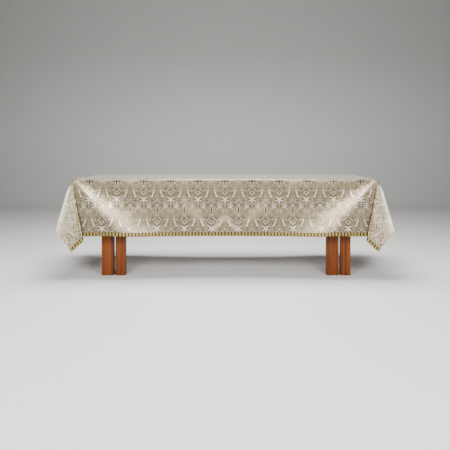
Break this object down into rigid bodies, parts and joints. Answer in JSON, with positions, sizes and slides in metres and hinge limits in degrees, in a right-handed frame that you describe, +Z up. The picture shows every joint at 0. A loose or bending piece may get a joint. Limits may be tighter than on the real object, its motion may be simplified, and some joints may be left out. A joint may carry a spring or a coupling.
{
  "type": "altar cloth with gold braid on its altar table",
  "caption": "Long altar table under a damask altar cloth with pleated hanging corners and a gold braid on its front hem.",
  "frame": {"origin": "on the floor under the middle of the whole part", "axes": "+X along the length of the table, +Y from the front with the braid to the back, +Z up"},
  "size_m": [3.108, 1.0786, 0.9],
  "materials": {
    "damask": "figured silver-grey and white silk damask with a soft sheen",
    "braid": "ribbed gold galloon braid with a metallic lustre",
    "wood": "orange-brown stained timber with upright grain, satin"
  },
  "bodies": {
    "root": {"altar_cloth": "damask", "gold_braid": "braid", "table_top": "wood", "left_wide_board": "wood", "left_narrow_board": "wood", "left_back_post": "wood", "left_bearer": "wood", "right_wide_board": "wood", "right_narrow_board": "wood", "right_back_post": "wood", "right_bearer": "wood"}
  },
  "joints": []
}
